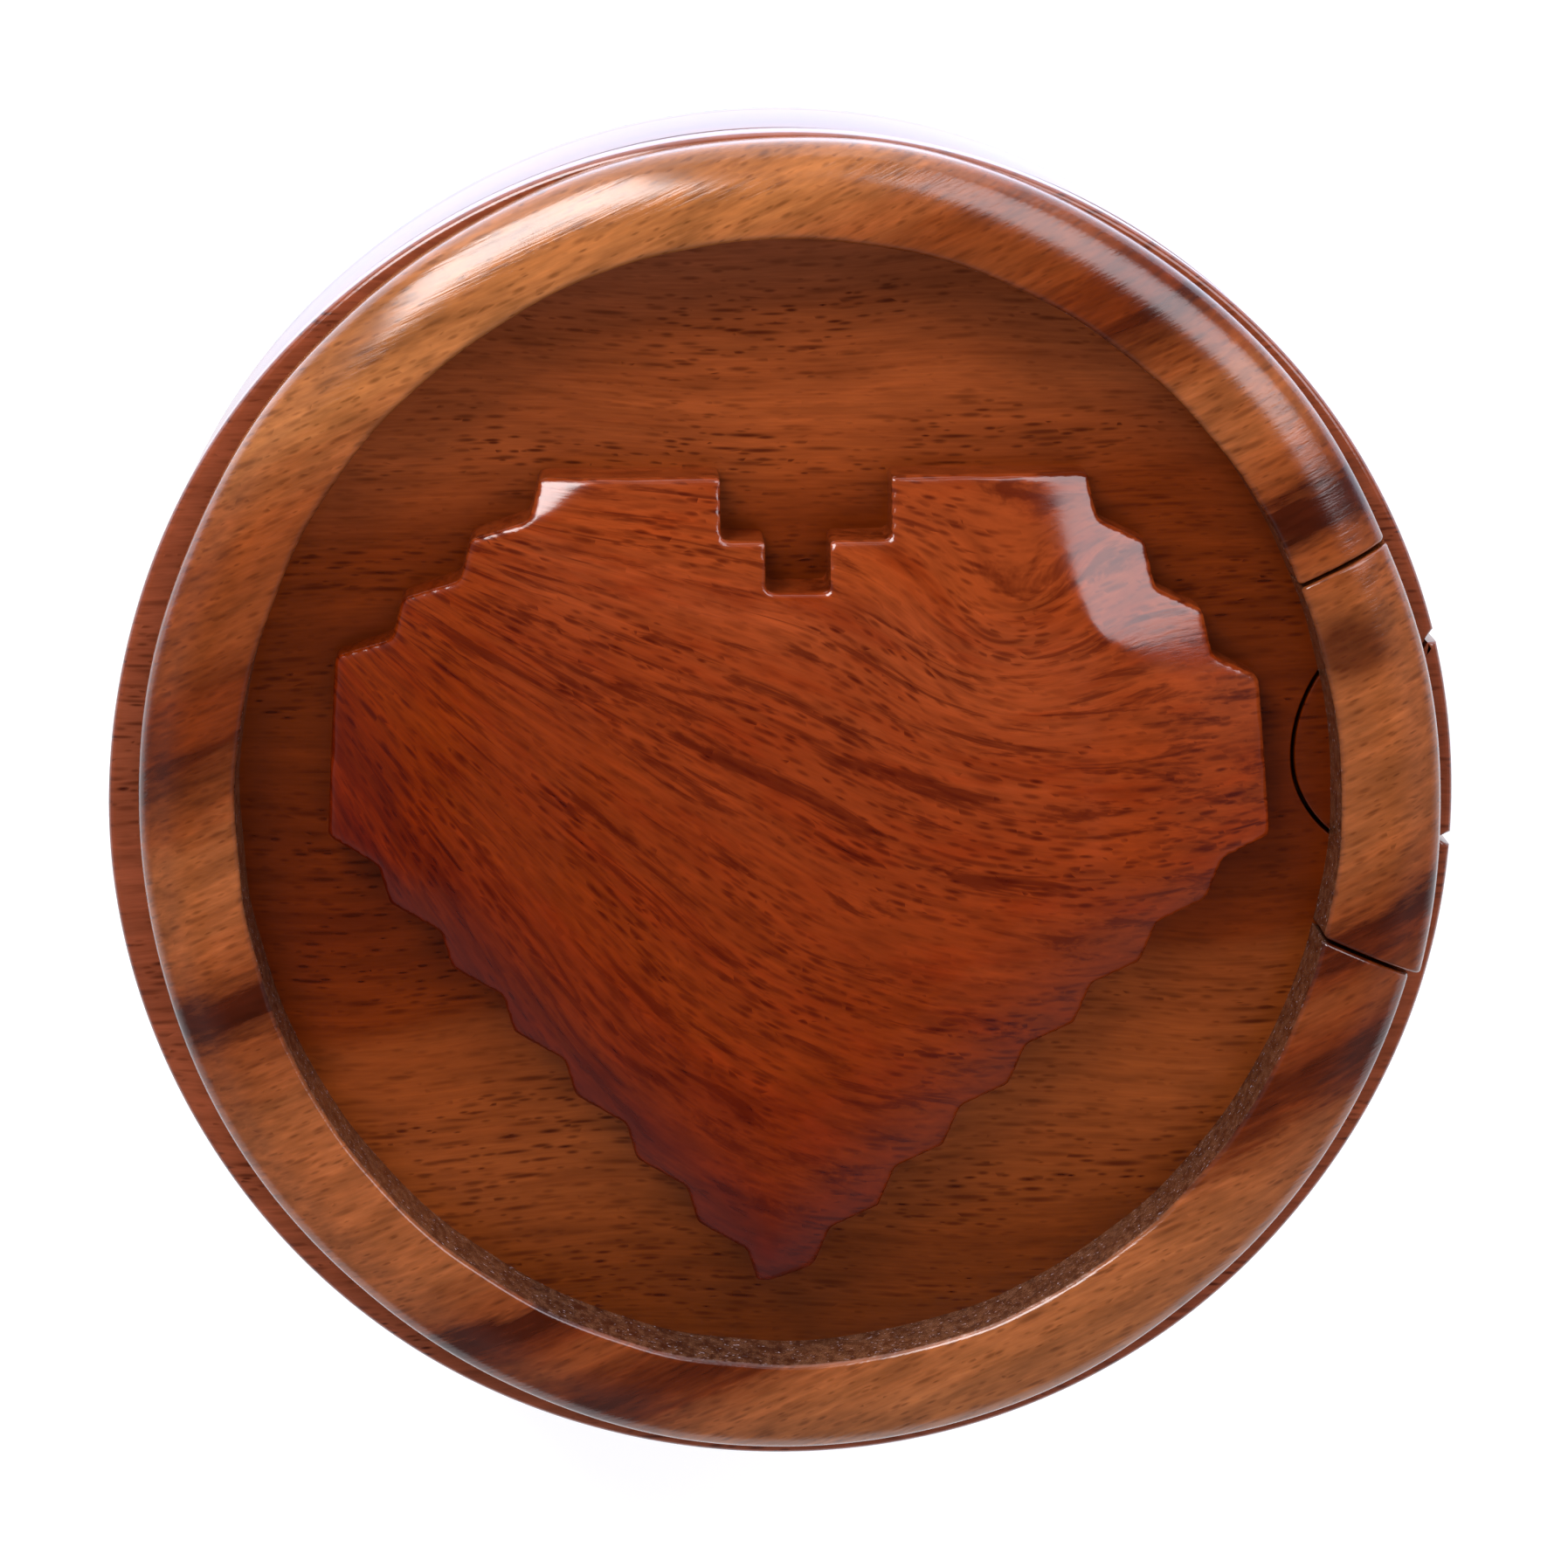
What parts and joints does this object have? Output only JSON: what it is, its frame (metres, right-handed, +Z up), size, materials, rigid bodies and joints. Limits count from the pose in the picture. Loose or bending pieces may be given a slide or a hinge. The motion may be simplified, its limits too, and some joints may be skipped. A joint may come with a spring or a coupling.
{
  "type": "round wooden puzzle box",
  "caption": "Round lacquered wooden puzzle box: its lid with a raised stepped heart swings open once a key cut from its edge is lifted off.",
  "frame": {"origin": "middle of the base, on the surface that the box stands on", "axes": "+Z up through the lid; +X towards the lid's key; the lid's pivot is on the -Y side; the heart's tip points to -Y"},
  "size_m": [0.12, 0.12, 0.0417],
  "materials": {
    "body_wood": "gloss lacquer",
    "plate_wood": "gloss lacquer",
    "ring_wood": "gloss lacquer",
    "heart_wood": "gloss lacquer",
    "dowel_wood": "bare",
    "flock": "matte",
    "steel": "zinc plated"
  },
  "bodies": {
    "box": {"base_plate": "body_wood", "box_body": "body_wood", "lining_wall": "flock", "lining_floor": "flock"},
    "lid": {"lid_plate": "plate_wood", "lid_ring": "ring_wood", "heart_inlay": "heart_wood", "pivot_dowel": "dowel_wood", "pivot_washer": "steel", "pivot_screw": "steel"},
    "key": {"key_tab": "plate_wood", "key_ring": "ring_wood", "key_foot": "dowel_wood"}
  },
  "joints": [
    {"name": "lid_swing", "type": "hinge", "parent": "box", "child": "lid", "pos_m": [0, -0.053, 0.027], "axis": [0, 0, 1], "range_deg": [0, 65]},
    {"name": "key_lift", "type": "slide", "parent": "lid", "child": "key", "axis": [0, 0, 1], "range_m": [0, 0.025]}
  ]
}
